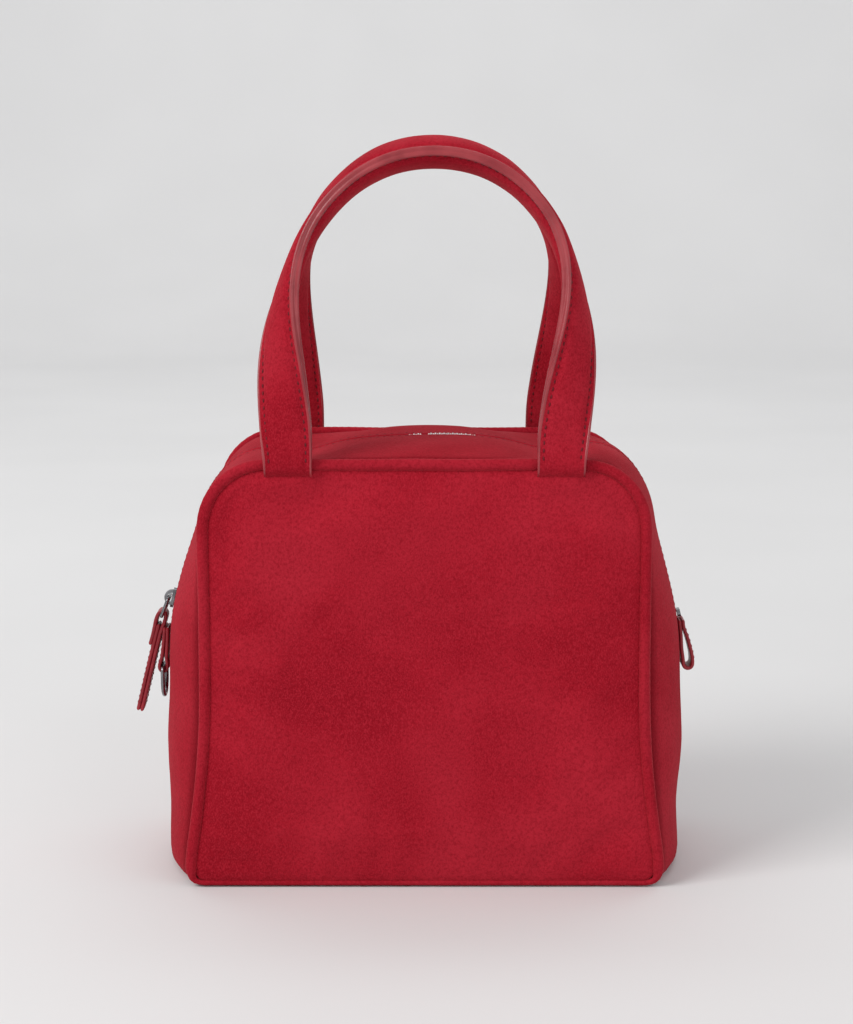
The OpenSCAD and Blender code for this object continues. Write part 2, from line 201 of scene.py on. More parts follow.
def facing_out(obj, inside):
    """Turns the faces so that they look away from a point inside."""
    me = obj.data
    total = 0.0
    for p in me.polygons:
        total += p.area * p.normal.dot(p.center - Vector(inside))
    if total < 0:
        me.flip_normals()
    return obj


# ---------------------------------------------------------------- materials

class Nodes:
    """A short way to write a node tree."""

    def __init__(self, name):
        self.material = bpy.data.materials.new(name)
        self.material.use_nodes = True
        self.tree = self.material.node_tree
        self.shader = self.tree.nodes["Principled BSDF"]
        self.place = self.add("ShaderNodeTexCoord").outputs["Object"]

    def add(self, kind, **values):
        node = self.tree.nodes.new(kind)
        for key, value in values.items():
            if hasattr(node, key):
                setattr(node, key, value)
            else:
                node.inputs[key.replace("_", " ").title()].default_value = value
        return node

    def link(self, output, target):
        self.tree.links.new(output, target)

    def noise(self, size, detail=2.0, rough=0.5, vector=None, distortion=0.0):
        """Noise whose features are about size metres across."""
        n = self.add("ShaderNodeTexNoise", scale=1 / size, detail=detail, roughness=rough,
                     distortion=distortion)
        self.link(vector or self.place, n.inputs["Vector"])
        return n.outputs["Fac"]

    def stretched(self, x, y, z):
        m = self.add("ShaderNodeMapping", scale=(x, y, z))
        self.link(self.place, m.inputs["Vector"])
        return m.outputs["Vector"]

    def math(self, how, a, b):
        n = self.add("ShaderNodeMath", operation=how)
        for k, value in enumerate((a, b)):
            if isinstance(value, (int, float)):
                n.inputs[k].default_value = value
            else:
                self.link(value, n.inputs[k])
        return n.outputs[0]

    def spread(self, value, low=0.3, high=0.7, to_low=0.0, to_high=1.0):
        """Maps low..high onto to_low..to_high, smoothly and clamped."""
        n = self.add("ShaderNodeMapRange", interpolation_type="SMOOTHSTEP")
        for k, v in enumerate((low, high, to_low, to_high)):
            n.inputs[k + 1].default_value = v
        self.link(value, n.inputs[0])
        return n.outputs[0]

    def mix(self, fac, a, b):
        n = self.add("ShaderNodeMix", data_type="RGBA")
        for socket, value in ((n.inputs[0], fac), (n.inputs[6], a), (n.inputs[7], b)):
            if isinstance(value, (int, float)):
                socket.default_value = value
            elif isinstance(value, tuple):
                socket.default_value = (*value, 1)
            else:
                self.link(value, socket)
        return n.outputs[2]

    def bump(self, height, distance, strength=1.0, before=None):
        n = self.add("ShaderNodeBump", distance=distance, strength=strength)
        self.link(height, n.inputs["Height"])
        if before:
            self.link(before, n.inputs["Normal"])
        return n.outputs["Normal"]

    def finish(self, color=None, rough=None, normal=None, **fixed):
        if isinstance(color, tuple):
            self.shader.inputs["Base Color"].default_value = (*color, 1)
        elif color:
            self.link(color, self.shader.inputs["Base Color"])
        if isinstance(rough, (int, float)):
            self.shader.inputs["Roughness"].default_value = rough
        elif rough:
            self.link(rough, self.shader.inputs["Roughness"])
        if normal:
            self.link(normal, self.shader.inputs["Normal"])
        for key, value in fixed.items():
            self.shader.inputs[key.replace("_", " ").title().replace("Ior", "IOR")].default_value = value
        return self.material


RED = (0.35, 0.0075, 0.019)
RED_LIGHT = (0.45, 0.019, 0.036)
RED_DARK = (0.2, 0.002, 0.008)


def suede(name, tone=1.0, patch=0.075, sheen=0.18, crease_shade_y=None):
    """Napped suede: broad brushed clouds, a few finger marks and a fine speckle of fibres. Painted shade
    darkens it near the seams' depth, in place of the shadow in the crease beside the piping."""
    n = Nodes(name)
    clouds = n.noise(patch, 2.5, 0.5, distortion=0.4)
    marks = n.noise(0.03, 3.0, 0.55, n.stretched(1.0, 1.0, 1.6), 0.8)
    speckle = n.noise(0.0013, 2.5, 0.65)
    fibres = n.noise(0.0007, 2.0, 0.6, n.stretched(1.4, 1.4, 0.8))
    dark, base, light = (tuple(c * tone for c in rgb) for rgb in (RED_DARK, RED, RED_LIGHT))
    color = n.mix(n.spread(clouds, 0.36, 0.66, 0.0, 0.7), base, light)
    color = n.mix(n.spread(clouds, 0.5, 0.3, 0.0, 0.35), color, dark)
    color = n.mix(n.spread(marks, 0.62, 0.36, 0.0, 0.16), color, dark)
    color = n.mix(n.spread(marks, 0.6, 0.75, 0.0, 0.35), color, light)
    color = n.mix(n.spread(speckle, 0.62, 0.32, 0.0, 0.5), color, dark)
    color = n.mix(n.spread(fibres, 0.42, 0.68, 0.0, 0.6), color, light)
    # Painted shade: the colour darkens towards the seams' depth, standing in for the crease shadow where the
    # gusset tucks in beside the piping.
    if crease_shade_y:
        parts = n.add("ShaderNodeSeparateXYZ")
        n.link(n.place, parts.inputs[0])
        depth = n.math("ABSOLUTE", parts.outputs["Y"], 0.0)
        color = n.mix(n.spread(depth, crease_shade_y - 9 * MM, crease_shade_y - 1 * MM, 0.0, 0.8), color,
                      tuple(c * 0.6 for c in dark))
    pile = n.math("ADD", n.math("MULTIPLY", speckle, 0.6), n.math("MULTIPLY", fibres, 0.5))
    normal = n.bump(pile, 0.0004, 0.7, n.bump(marks, 0.0008, 0.2))
    return n.finish(color, n.spread(clouds, 0.3, 0.7, 0.97, 0.86), normal,
                    sheen_weight=sheen, sheen_roughness=0.4, sheen_tint=(1.0, 0.2, 0.22, 1),
                    specular_ior_level=0.08)


def painted_edge(name):
    """The sealed, slightly glossy cut edge of a strap."""
    n = Nodes(name)
    tone = n.noise(0.012, 3.0)
    grain = n.noise(0.0009, 2.0)
    color = n.mix(n.spread(tone), (0.25, 0.014, 0.022), (0.35, 0.032, 0.042))
    return n.finish(color, n.spread(grain, 0.3, 0.7, 0.3, 0.46), n.bump(grain, 0.00012, 0.5),
                    specular_ior_level=0.5, coat_weight=0.15, coat_roughness=0.3)


PEBBLES = 1400  # grains of trim leather in a metre


def smooth_leather(name):
    """Trim leather with a fine pebbled grain and rubbed high spots."""
    n = Nodes(name)
    cells = n.add("ShaderNodeTexVoronoi", scale=PEBBLES)
    n.link(n.place, cells.inputs["Vector"])
    tone = n.noise(0.009, 3.0)
    color = n.mix(n.spread(tone), (0.25, 0.011, 0.02), (0.36, 0.024, 0.036))
    color = n.mix(n.spread(cells.outputs["Distance"], 0.0, 0.6, 0.35, 0.0), color,
                  (0.08, 0.002, 0.005))
    return n.finish(color, n.spread(tone, 0.3, 0.7, 0.32, 0.5),
                    n.bump(cells.outputs["Distance"], 0.00012, 0.5), specular_ior_level=0.4)


def thread(name):
    """Twisted sewing thread."""
    n = Nodes(name)
    twist = n.noise(0.0005, 1.0, 0.5, n.stretched(1.0, 1.0, 3.0))
    color = n.mix(n.spread(twist), (0.09, 0.0015, 0.005), (0.19, 0.007, 0.015))
    return n.finish(color, 0.6, n.bump(twist, 0.0001, 0.5), specular_ior_level=0.3)


def metal(name, color, rough):
    """Plated metal with faint handling marks."""
    n = Nodes(name)
    marks = n.noise(0.0016, 3.0, 0.6, n.stretched(1.0, 3.0, 1.0))
    worn = n.noise(0.006, 3.0)
    tint = n.mix(n.spread(worn, 0.35, 0.75), color, tuple(min(1.0, c * 1.35) for c in color))
    return n.finish(tint, n.spread(marks, 0.3, 0.7, rough, rough + 0.14), n.bump(marks, 0.00004, 0.4),
                    metallic=1.0)


def cloth(name, color, dark, thread_size=0.0004):
    """Plain woven cloth."""
    n = Nodes(name)
    waves = []
    for axis in ("X", "Z"):
        w = n.add("ShaderNodeTexWave", bands_direction=axis, scale=0.33 / thread_size, distortion=0.6)
        n.link(n.place, w.inputs["Vector"])
        waves.append(w.outputs["Fac"])
    weave = n.math("MULTIPLY", *waves)
    tone = n.mix(n.spread(n.noise(0.03, 3.0), 0.3, 0.7, 0.0, 0.4), color, dark)
    return n.finish(n.mix(n.spread(weave, 0.0, 0.6, 0.5, 0.0), tone, dark), 0.85,
                    n.bump(weave, 0.0001, 0.6), sheen_weight=0.15, specular_ior_level=0.2)


def board(name, color):
    """Pressed fibre board or foam: a fleck and a dull surface."""
    n = Nodes(name)
    fleck = n.noise(0.0015, 4.0, 0.7)
    return n.finish(n.mix(n.spread(fleck, 0.35, 0.65), color, tuple(c * 0.6 for c in color)), 0.9,
                    n.bump(fleck, 0.0002, 0.6))


def floor_finish(name):
    """A plain pale studio floor."""
    n = Nodes(name)
    grain = n.noise(0.3, 2.0)
    color = n.mix(n.spread(grain), (0.72, 0.72, 0.725), (0.74, 0.74, 0.745))
    return n.finish(color, 0.75, specular_ior_level=0.15)


SUEDE = suede("suede_body")
SUEDE_PIPING = suede("suede_piping", 0.94, 0.05, 0.3)
SUEDE_STRAP = suede("suede_strap", 0.97, 0.04, 0.24)
# suede for the gusset and zip strips, with painted shade darkening it towards the piping seams
SUEDE_GUSSET_SHADED = suede("suede_gusset_crease_shade", 0.96, 0.06, 0.14, upper("side_gusset_left", 1))
EDGE = painted_edge("painted_edge")
TRIM = smooth_leather("trim_leather")
THREAD = thread("thread")
NICKEL = metal("dark_nickel", (0.2, 0.2, 0.21), 0.18)
TEETH = metal("zip_teeth", (0.75, 0.75, 0.76), 0.25)
TAPE = cloth("zip_tape", (0.16, 0.006, 0.014), (0.07, 0.002, 0.006))
LINING = cloth("lining_cloth", (0.24, 0.012, 0.024), (0.1, 0.004, 0.01), 0.0005)
BOARD = board("fibre_board", (0.09, 0.085, 0.08))
FOAM = board("strap_foam", (0.6, 0.57, 0.5))
FLOOR = floor_finish("studio_floor")

# ---------------------------------------------------------------- the seam line and the gusset

SEAM_COUNT = 700
GUSSET_Y = upper("side_gusset_left", 1)
PANEL_OUT = -lower("front_panel", 1)
PANEL_IN = -upper("front_panel", 1)
SEAM_TOP = upper("front_panel", 2)
PIPING_R = (upper("front_piping", 0) - upper("front_panel", 0)) / 2
ZIP_END = upper("side_gusset_left", 2)
TAPE_EDGE = -upper("zip_strip_front_top", 1)
SKIN_T = PANEL_OUT - PANEL_IN
SKIN_OUT = PIPING_R + SKIN_T / 2
SKIN_IN = SKIN_OUT - SKIN_T


def smoothed(values, width):
    """A closed row of values, blurred over width samples."""
    reach = int(width * 3)
    weight = np.exp(-0.5 * (np.arange(-reach, reach + 1) / width) ** 2)
    weight /= weight.sum()
    padded = np.concatenate([values[-reach:], values, values[:reach]])
    return np.stack([np.convolve(padded[:, k], weight, "valid") for k in range(values.shape[1])], 1)


FOOT_R, FOOT_POWER, BOTTOM_SINK = 7 * MM, 6, 1.9 * MM


def squared_foot(line, r, power):
    """The line with its bottom corners of radius r made squarer."""
    side, bottom = line[:, 0].max(), line[:, 1].min()
    dx = (np.abs(line[:, 0]) - side + r) / r
    dz = (bottom + r - line[:, 1]) / r
    corner = (dx > 0) & (dz > 0)
    reach = np.maximum(np.hypot(dx, dz), 1e-9)
    c, s = np.abs(dx) / reach, np.abs(dz) / reach
    k = (c ** power + s ** power) ** (-1 / power) / np.maximum(reach, 1e-9) * np.minimum(reach, 1)
    x = np.where(corner, np.sign(line[:, 0]) * (side - r + dx * k * r), line[:, 0])
    z = np.where(corner, bottom + r - dz * k * r, line[:, 1])
    return np.stack([x, z], 1)


def pressed(line):
    """The line with its bottom run pressed down to the floor."""
    rise = line[:, 1] - line[:, 1].min()
    return np.stack([line[:, 0], line[:, 1] - BOTTOM_SINK * (1 - smooth(0, 18 * MM, rise))], 1)


def seam_line():
    """The panel's outline as SEAM_COUNT points [x, z], from the middle of the bottom towards +X."""
    points = node_points("front_panel")
    face = points[points[:, 1] < points[:, 1].min() + 1e-5][:, [0, 2]]
    face = np.unique(np.round(face, 6), axis=0)
    middle = (face.min(0) + face.max(0)) / 2
    around = np.arctan2(face[:, 0] - middle[0], middle[1] - face[:, 1]) % (2 * math.pi)
    loop = face[np.argsort(around)]
    if abs(loop[0][0]) > 1e-4:
        loop = np.vstack([[0, loop[0][1]], loop])
    closed = np.vstack([loop, loop[:1]])
    run = run_along(closed)
    even = at_run(np.arange(SEAM_COUNT) * run[-1] / SEAM_COUNT, run, closed)
    return smoothed(pressed(squared_foot(even, FOOT_R, FOOT_POWER)), 1.6), run[-1]


SEAM, SEAM_LENGTH = seam_line()
along = unit(np.roll(SEAM, -1, 0) - np.roll(SEAM, 1, 0))
NORMAL = np.stack([along[:, 1], -along[:, 0]], 1)
OUTWARD = NORMAL.copy()
low = NORMAL[:, 1] < 0
OUTWARD[low] = np.stack([np.sign(SEAM[low, 0] + 1e-9), np.zeros(low.sum())], 1)


def swell(v):
    return 1 - np.abs(v) ** 2.2


def gusset_swell():
    """How far the CAD gusset bulges out at each point of the seam, measured on its outer face."""
    trees = []
    for name in frame["nodes"]:
        if name.startswith(("side_gusset", "zip_strip")):
            me = frame["nodes"][name].data
            trees.append(BVHTree.FromPolygons([v.co for v in me.vertices],
                                              [p.vertices for p in me.polygons]))
    y = 0.45 * GUSSET_Y
    found = np.zeros(SEAM_COUNT)
    for k in range(SEAM_COUNT):
        way = Vector((OUTWARD[k][0], 0, OUTWARD[k][1]))
        start = Vector((SEAM[k][0], -y, SEAM[k][1])) + way * 0.08
        hits = [t.ray_cast(start, -way, 0.08) for t in trees]
        near = [h[3] for h in hits if h[0] is not None]
        found[k] = 0.08 - min(near) if near else np.nan
    good = ~np.isnan(found)
    found = np.interp(np.arange(SEAM_COUNT), np.flatnonzero(good), found[good], period=SEAM_COUNT)
    lean = np.einsum("ij,ij->i", NORMAL, OUTWARD)
    rise = (found - SKIN_OUT * np.maximum(lean, 0.2)) / swell(0.45)
    return smoothed(np.maximum(rise, 0)[:, None], 5)[:, 0]


SWELL = gusset_swell()

# The top is slack: it crowns in the middle and dips beside the handles.
SAG_AT, SAG_WIDTH, SAG_DEPTH, CROWN_RISE = 54 * MM, 16 * MM, 5.6 * MM, 1.2 * MM
SHOULDER, SHOULDER_WIDTH, SHOULDER_DROP = np.array([-80 * MM, 172 * MM]), 20 * MM, 3.4 * MM
sag = hill(np.abs(SEAM[:, 0]) - SAG_AT, SAG_WIDTH) * smooth(SEAM_TOP - 40 * MM, SEAM_TOP - 5 * MM, SEAM[:, 1])
crown = hill(SEAM[:, 0], 22 * MM) * smooth(SEAM_TOP - 2 * MM, SEAM_TOP - 1 * MM, SEAM[:, 1])
slack = hill(np.linalg.norm(SEAM - SHOULDER, axis=1), SHOULDER_WIDTH)
SWELL = SWELL - SAG_DEPTH * sag + CROWN_RISE * crown - SHOULDER_DROP * slack


def at_seam(values, u):
    """Values of a closed row at fractional places u."""
    u = np.asarray(u, float) % SEAM_COUNT
    i = np.floor(u).astype(int)
    f = (u - i)[..., None] if values.ndim > 1 else u - i
    return values[i % SEAM_COUNT] * (1 - f) + values[(i + 1) % SEAM_COUNT] * f


def place_of(x_sign, z):
    """The seam place at height z, on the side of the given sign."""
    side = np.flatnonzero(SEAM[:, 0] * x_sign > 0.05)
    return float(side[np.argmin(np.abs(SEAM[side, 1] - z))])


U_TOP = SEAM_COUNT / 2
U_ZIP_RIGHT = place_of(1, ZIP_END)
U_ZIP_LEFT = SEAM_COUNT - U_ZIP_RIGHT


def soft_wander(points):
    """Slow unevenness of the soft walls."""
    return 0.8 * MM * ripple(points, 0.07, 1.0) + 0.3 * MM * ripple(points, 0.022, 2.0)


CREASE_DEPTH, CREASE_WIDTH = 3.4 * MM, 2.3 * MM
BACK_CROWN = 2.0 * MM


def skin(u, y, d):
    """Points of the gusset at seam places u, depths y and distances d outward. Arrays of one shape."""
    u, y, d = np.broadcast_arrays(np.asarray(u, float), y, d)
    p, n, o = at_seam(SEAM, u), at_seam(NORMAL, u), at_seam(OUTWARD, u)
    full = swell(np.clip(y / GUSSET_Y, -1, 1))
    tuck = CREASE_DEPTH * hill(np.maximum(GUSSET_Y - np.abs(y), 0), CREASE_WIDTH)
    tuck = tuck * smooth(10 * MM, 24 * MM, p[..., 1])
    rise = at_seam(SWELL, u) * full
    out = d - tuck
    x = p[..., 0] + n[..., 0] * out + o[..., 0] * rise
    z = p[..., 1] + n[..., 1] * out + o[..., 1] * rise
    flat = np.stack([x.ravel(), np.asarray(y, float).ravel(), z.ravel()], 1)
    wander = soft_wander(flat).reshape(x.shape) * full
    wander = wander + (BACK_CROWN * hill(p[..., 0], 26 * MM, 4) * hill(y - 24 * MM, 13 * MM)
                       * smooth(SEAM_TOP - 6 * MM, SEAM_TOP - 1 * MM, p[..., 1]))
    return np.stack([x + o[..., 0] * wander, y, np.maximum(z + o[..., 1] * wander, 0.1 * MM)], -1)


def skin_rings(us, side_y, edge_y, steps, outer, inner):
    """Rings of a sheet of the gusset with rounded long edges, from depth side_y to edge_y, each of
    which is a number or one number for each seam place."""
    t = (outer - inner) / 2
    middle = (outer + inner) / 2
    us = np.asarray(us, float)
    y0 = np.broadcast_to(side_y, us.shape)[:, None]
    y1 = np.broadcast_to(edge_y, us.shape)[:, None]
    sign = np.sign(y1 - y0)
    rounds = np.linspace(math.pi / 2, -math.pi / 2, 7)[1:-1][None, :]
    k = np.linspace(0, 1, steps)[None, :]
    ys = y0 + (y1 - y0) * k
    level = np.ones_like(ys)
    ring_y = np.concatenate([ys, y1 + sign * t * np.cos(rounds), ys[:, ::-1],
                             y0 - sign * t * np.cos(rounds)], 1)
    ring_d = np.concatenate([level * outer, middle + t * np.sin(rounds) + 0 * y0, level * inner,
                             middle - t * np.sin(rounds) + 0 * y0], 1)
    return skin(us[:, None] + 0 * ring_y, ring_y, ring_d)


def skin_solid(name, us, side_y, edge_y, steps, outer, inner, material):
    rings = skin_rings(us, side_y, edge_y, steps, outer, inner)
    return shape_of_parts(name, [closed_sweep(rings)], material)


STITCH_PITCH = 3.2 * MM


def stitch_row(points, ups, length=2.2 * MM, pitch=STITCH_PITCH, r=0.32 * MM):
    """Parts for a row of stitches along a path. ups are the outward directions of the surface."""
    points, ups = np.asarray(points), np.asarray(ups)
    run = run_along(points)
    parts = []
    for k in range(int(run[-1] / pitch)):
        s = np.array([k * pitch + pitch / 2 + length * e for e in (-0.5, -0.32, 0, 0.32, 0.5)])
        if s[-1] > run[-1]:
            break
        p = at_run(s, run, points)
        up = unit(at_run(s, run, ups))
        side = np.cross(up, unit(p[-1] - p[0]))
        sink = r * np.array([-0.9, 0.1, 0.45, 0.1, -0.9])
        ring = []
        for i, fat in enumerate((0.35, 0.9, 1.0, 0.9, 0.35)):
            for a in np.arange(6) * math.pi / 3:
                ring.append(p[i] + up[i] * (sink[i] + r * fat * math.sin(a))
                            + side[i] * r * fat * math.cos(a))
        faces = grid_faces(5, 6, wrap_cols=True)
        faces += [tuple(range(6))[::-1], tuple(range(24, 30))]
        parts.append((ring, faces))
    return parts


def closed_tube(path, radii, sides=14):
    """(points, faces) of a round tube along a closed path, with a radius for each of its points."""
    way = unit(np.roll(path, -1, 0) - np.roll(path, 1, 0))
    up = np.cross(way[0], [0.3, 0.9, 0.2])
    points = []
    for place, ahead, radius in zip(path, way, radii):
        up = unit(up - ahead * up.dot(ahead))
        side = np.cross(ahead, up)
        for a in np.arange(sides) * 2 * math.pi / sides:
            points.append(place + radius * (math.cos(a) * up + math.sin(a) * side))
    return points, grid_faces(len(path), sides, wrap_rows=True, wrap_cols=True)


# ---------------------------------------------------------------- camera, lights and stage

def studio():
    # The camera stands in front of the bag, as high as its handles, and looks down a little.
    cam = bpy.data.objects.new("camera", bpy.data.cameras.new("camera"))
    bpy.context.scene.collection.objects.link(cam)
    cam.data.sensor_width = 36
    cam.data.lens = 77.34375
    cam.location = (0.8 * MM, -0.953, 0.315)
    cam.rotation_euler = (math.radians(90 - 9.59), 0, 0)
    bpy.context.scene.camera = cam

    # Floor and backdrop in one sweep.
    width, depth, radius = 6.0, 2.2, 0.9
    profile = [(-3.0, 0.0)] + [(depth + radius * math.sin(a), radius - radius * math.cos(a))
                               for a in np.linspace(0, math.pi / 2, 16)] + [(depth + radius, 3.0)]
    points = [(x, y, z) for y, z in profile for x in (-width / 2, width / 2)]
    sweep = shape("studio_sweep", points, grid_faces(len(profile), 2), FLOOR)

    def area(name, place, target, size, power, color=(1, 1, 1)):
        data = bpy.data.lights.new(name, "AREA")
        data.shape = "RECTANGLE"
        data.size, data.size_y = size
        data.energy = power
        data.color = color
        lamp = bpy.data.objects.new(name, data)
        bpy.context.scene.collection.objects.link(lamp)
        lamp.location = place
        way = Vector(target) - Vector(place)
        lamp.rotation_euler = way.to_track_quat("-Z", "Y").to_euler()

    area("key", (-1.5, -1.1, 1.7), (0, 0, 0.12), (1.1, 1.1), 33, (1.0, 0.985, 0.97))
    area("fill", (1.3, -1.6, 1.0), (0, 0, 0.12), (1.6, 1.4), 8)
    area("backdrop", (0.0, 1.2, 2.6), (0, 2.6, 0.6), (2.8, 1.6), 24)

    world = bpy.data.worlds.new("studio_world")
    bpy.context.scene.world = world
    world.use_nodes = True
    back = world.node_tree.nodes["Background"]
    back.inputs[0].default_value = (1, 1, 1, 1)
    back.inputs[1].default_value = 0.56
    bpy.context.scene.view_settings.view_transform = "Standard"


# ---------------------------------------------------------------- front and back panels

PANEL_COLS, PANEL_ROWS = 92, 84
TUCK_OUT, TUCK_IN = 1.2 * MM, 1.7 * MM
ROOT_SWELL = 2.2 * MM


def coons(outline, count):
    """A grid of points [x, z] that fills the closed outline, and each point's share across and up."""
    corners = [place_of(1, SEAM_TOP * 0.05), place_of(1, SEAM_TOP - 7 * MM)]
    cols, rows = count
    bottom = at_seam(outline, np.linspace(-corners[0], corners[0], cols))
    right = at_seam(outline, np.linspace(corners[0], corners[1], rows))
    top = at_seam(outline, np.linspace(SEAM_COUNT - corners[1], corners[1], cols))
    left = at_seam(outline, np.linspace(SEAM_COUNT - corners[0], SEAM_COUNT - corners[1], rows))
    s = np.linspace(0, 1, cols)[None, :, None]
    t = np.linspace(0, 1, rows)[:, None, None]
    flat = ((1 - t) * bottom[None] + t * top[None] + (1 - s) * left[:, None] + s * right[:, None]
            - (1 - s) * (1 - t) * bottom[0] - s * (1 - t) * bottom[-1]
            - (1 - s) * t * top[0] - s * t * top[-1])
    return flat.reshape(-1, 2), np.broadcast_to(s, flat.shape)[..., 0].ravel(), \
        np.broadcast_to(t, flat.shape)[..., 0].ravel()


def panel_sheet(name, seed):
    """A soft panel that tucks in under the piping, drawn for the front. A cloth simulation settles it."""
    flat = coons(SEAM + NORMAL * TUCK_OUT, (PANEL_COLS, PANEL_ROWS))[0]
    points = np.stack([flat[:, 0], np.full(len(flat), -PANEL_IN - SKIN_T / 2), flat[:, 1]], 1)
    gap = np.sqrt(((flat[:, None, :] - (SEAM + NORMAL * TUCK_OUT)[None, ::3, :]) ** 2).sum(-1)).min(1)
    points[:, 1] += TUCK_IN * hill(gap, 2.2 * MM)
    points[:, 1] -= 1.3 * MM * smooth(1 * MM, 24 * MM, gap)
    points[:, 1] -= 0.9 * MM * ripple(points, 0.065, seed) * smooth(2 * MM, 20 * MM, gap)
    for x in (-FOOT_X, FOOT_X):
        near = hill(flat[:, 0] - x, 10.5 * MM, 4) * hill(flat[:, 1] - SEAM_TOP + 3 * MM, 7 * MM)
        points[:, 1] -= ROOT_SWELL * near * smooth(0, 2.2 * MM, gap)
    obj = shape(name, points, grid_faces(PANEL_ROWS, PANEL_COLS), SUEDE)
    if SLOW:
        settle(obj, gap < 2 * MM, pressure=0.9, grow=0.004, cap=1.6 * MM)
    return obj


def settle(obj, pinned, pressure, grow, cap):
    """Runs a short cloth simulation on the sheet, with its pinned points held."""
    rest = coords(obj)
    group = obj.vertex_groups.new(name="held")
    group.add([int(k) for k in np.flatnonzero(pinned)], 1.0, "REPLACE")
    mod = obj.modifiers.new("cloth", "CLOTH")
    cloth_set = mod.settings
    cloth_set.quality = 6
    cloth_set.mass = 0.35
    cloth_set.tension_stiffness = cloth_set.compression_stiffness = 40
    cloth_set.shear_stiffness = 20
    cloth_set.bending_stiffness = 6
    cloth_set.vertex_group_mass = "held"
    cloth_set.shrink_min = -grow
    cloth_set.use_pressure = True
    cloth_set.uniform_pressure_force = pressure
    cloth_set.effector_weights.gravity = 0
    mod.collision_settings.use_collision = False
    scene = bpy.context.scene
    for k in range(1, 21):
        scene.frame_set(k)
    apply_modifiers(obj)
    scene.frame_set(1)
    moved = coords(obj) - rest
    size = np.linalg.norm(moved, axis=1)
    scale = np.where(size > cap, cap / np.maximum(size, 1e-9), 1.0)
    set_coords(obj, rest + moved * scale[:, None])


def thicken(obj, thickness, levels=1):
    """Gives a sheet its thickness and rounds it with a subdivision."""
    solid = obj.modifiers.new("solid", "SOLIDIFY")
    solid.thickness = thickness
    solid.offset = 0
    sub = obj.modifiers.new("sub", "SUBSURF")
    sub.levels = sub.render_levels = levels
    apply_modifiers(obj)
    obj.data.polygons.foreach_set("use_smooth", [True] * len(obj.data.polygons))


def turned(obj):
    """Turns a piece drawn for the front so that it stands at the back."""
    set_coords(obj, coords(obj) * [-1, -1, 1])


def panels():
    for side, seed in (("front", 4.0), ("back", 9.0)):
        obj = panel_sheet(side + "_panel_skin", seed)
        thicken(obj, SKIN_T * 0.9)
        if side == "back":
            turned(obj)
        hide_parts(side + "_panel")
        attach(obj, "shell")


def piping_path():
    """Middle and radius of the piping on the front, with the small waves of a hand-turned seam. It is
    pressed thin under the bag."""
    rise = SEAM[:, 1] - SEAM[:, 1].min()
    radius = PIPING_R * (0.5 + 0.5 * smooth(0.3 * MM, 6 * MM, rise))
    flat = smoothed(squared_foot(SEAM + NORMAL * radius[:, None], FOOT_R + PIPING_R, 9), 1.2)
    path = np.stack([flat[:, 0], np.full(SEAM_COUNT, -PANEL_IN), flat[:, 1]], 1)
    wave = 0.35 * MM * ripple(path, 0.03, 6.0)
    path[:, 0] += NORMAL[:, 0] * wave
    path[:, 2] += np.where(NORMAL[:, 1] > 0, NORMAL[:, 1] * wave, 0.25 * np.abs(wave))
    return path, radius


def pipings():
    path, radius = piping_path()
    for side, sign in (("front", 1), ("back", -1)):
        route = path * [sign, sign, 1]
        run = np.arange(SEAM_COUNT) * SEAM_LENGTH / SEAM_COUNT
        pucker = 1 + 0.02 * np.sin(run / STITCH_PITCH * 2 * math.pi)
        fat = radius * (1 + 0.04 * ripple(route, 0.02, 3.0)) * pucker
        obj = shape_of_parts(side + "_piping_roll", [closed_tube(route, fat)], SUEDE_PIPING)
        facing_out(obj, (0, -PANEL_IN * sign, 0.09))
        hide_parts(side + "_piping")
        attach(obj, "shell")


# ---------------------------------------------------------------- gusset, strips and zip

def side_gussets():
    low = np.argmax(SEAM[:, 0] * (np.arange(SEAM_COUNT) < U_TOP) > SEAM[:, 0].max() - 8 * MM)
    for side, u0, u1 in (("right", float(low), U_ZIP_RIGHT), ("left", SEAM_COUNT - float(low), U_ZIP_LEFT)):
        obj = skin_solid("side_gusset_skin_" + side, np.linspace(u0, u1, 60), -GUSSET_Y, GUSSET_Y, 60,
                         SKIN_OUT, SKIN_IN, SUEDE_GUSSET_SHADED)
        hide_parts("side_gusset_" + side)
        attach(obj, "shell")


def base_skin():
    """The bottom panel: flat, with ends that swell like the gusset."""
    rows, cols = 60, 40
    foot = foot_of("base_panel")
    ys = np.linspace(-GUSSET_Y, GUSSET_Y, cols)
    end = foot + (upper("base_panel", 0) - foot) * swell(ys / GUSSET_Y)
    grid = np.concatenate([np.stack([end * s, ys, np.zeros(cols)], 1)
                           for s in np.linspace(-1, 1, rows)])
    obj = slab("base_panel_skin", grid, rows, cols, np.array([0, 0, upper("base_panel", 2)]),
               SUEDE)
    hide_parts("base_panel")
    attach(obj, "shell")


def foot_of(name):
    """Half the length of a base layer at its front edge."""
    points = node_points(name)
    return float(points[np.abs(points[:, 1]) > points[:, 1].max() - 0.5 * MM][:, 0].max())


def half_runs():
    """(name, seam places from the zip's end to the middle of the top) for each side."""
    return (("right", np.linspace(U_ZIP_RIGHT, U_TOP, 120)),
            ("left", np.linspace(U_ZIP_LEFT, U_TOP, 120)))


def lip_blend(obj):
    """Bakes the piece's placement into its mesh."""
    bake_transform(obj)


def strip_edge(us):
    """How far each strip's edge stays from the middle of the zip: a wider slot at its lower end."""
    run = np.abs(np.asarray(us) - U_TOP) / abs(U_ZIP_RIGHT - U_TOP)
    return (1.9 + 2.0 * smooth(0.7, 0.82, run) - 2.6 * smooth(0.965, 1.0, run)) * MM


